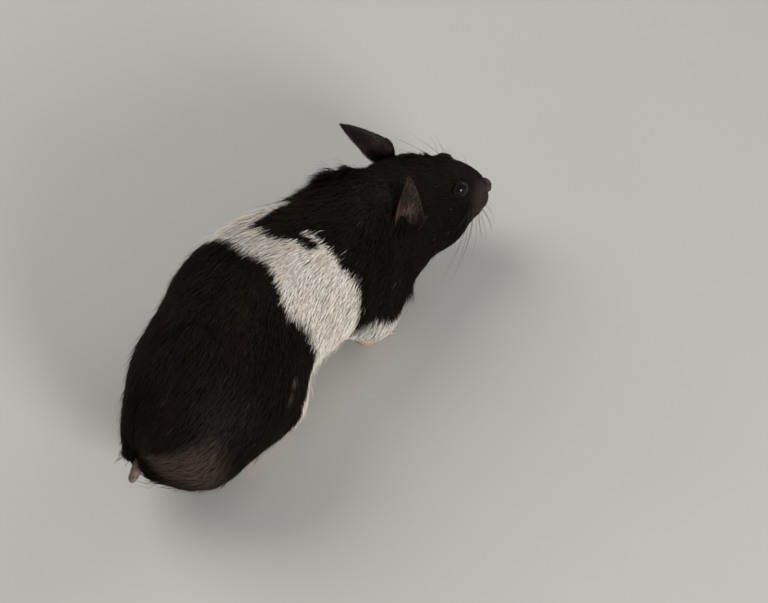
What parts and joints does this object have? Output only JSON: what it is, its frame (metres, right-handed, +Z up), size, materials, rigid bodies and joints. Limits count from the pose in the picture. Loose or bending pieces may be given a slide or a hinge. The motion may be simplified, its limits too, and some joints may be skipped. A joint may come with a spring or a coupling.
{
  "type": "syrian hamster model",
  "caption": "Life-size still model of a black Syrian hamster with a white band, standing on all fours with its head turned to its right.",
  "frame": {"origin": "on the floor, below the middle of the animal's box", "axes": "+X forward along the body, +Y to the animal's left, +Z up"},
  "size_m": [0.1402, 0.0518, 0.049],
  "materials": {
    "coat": "soft short fur, black with a white band round the trunk",
    "bare_skin": "pale pink skin with fine sparse hair",
    "ear_skin": "thin dusky skin with very short hair",
    "eye": "glossy black"
  },
  "bodies": {
    "root": {"trunk": "coat", "neck": "coat", "head": "coat", "hind_leg_left": "coat", "hind_leg_right": "coat", "fore_leg_left": "coat", "fore_leg_right": "coat", "hind_foot_left": "bare_skin", "hind_foot_right": "bare_skin", "fore_foot_left": "bare_skin", "fore_foot_right": "bare_skin", "tail": "bare_skin", "nose_pad": "bare_skin", "ear_left": "ear_skin", "ear_right": "ear_skin", "eye_left": "eye", "eye_right": "eye"}
  },
  "joints": []
}
